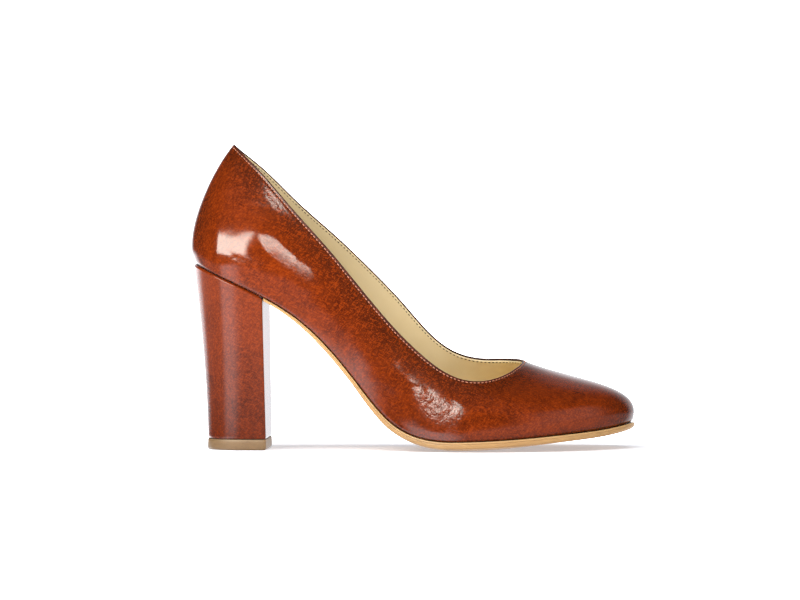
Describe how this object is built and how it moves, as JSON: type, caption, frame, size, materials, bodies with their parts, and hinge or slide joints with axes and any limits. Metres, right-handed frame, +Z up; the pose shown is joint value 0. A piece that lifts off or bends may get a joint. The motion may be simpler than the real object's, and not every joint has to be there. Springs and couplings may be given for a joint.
{
  "type": "court shoe",
  "caption": "High block-heel court shoe for the right foot: hollow leather upper with a low-cut collar, insole, thin outsole, covered heel and rubber top lift.",
  "frame": {"origin": "on the floor, in the middle of the shoe's length and width", "axes": "+X towards the toe, +Y towards the medial side, +Z up"},
  "size_m": [0.2124, 0.0772, 0.1464],
  "materials": {
    "upper": "polished smooth brown leather with a high gloss",
    "insole": "matt beige sock leather",
    "outsole": "natural tan sole leather, waxed edge",
    "heel": "block covered in brown leather, satin",
    "top_lift": "matt tan rubber"
  },
  "bodies": {
    "root": {"upper": "upper", "insole": "insole", "outsole": "outsole", "heel": "heel", "top_lift": "top_lift"}
  },
  "joints": []
}
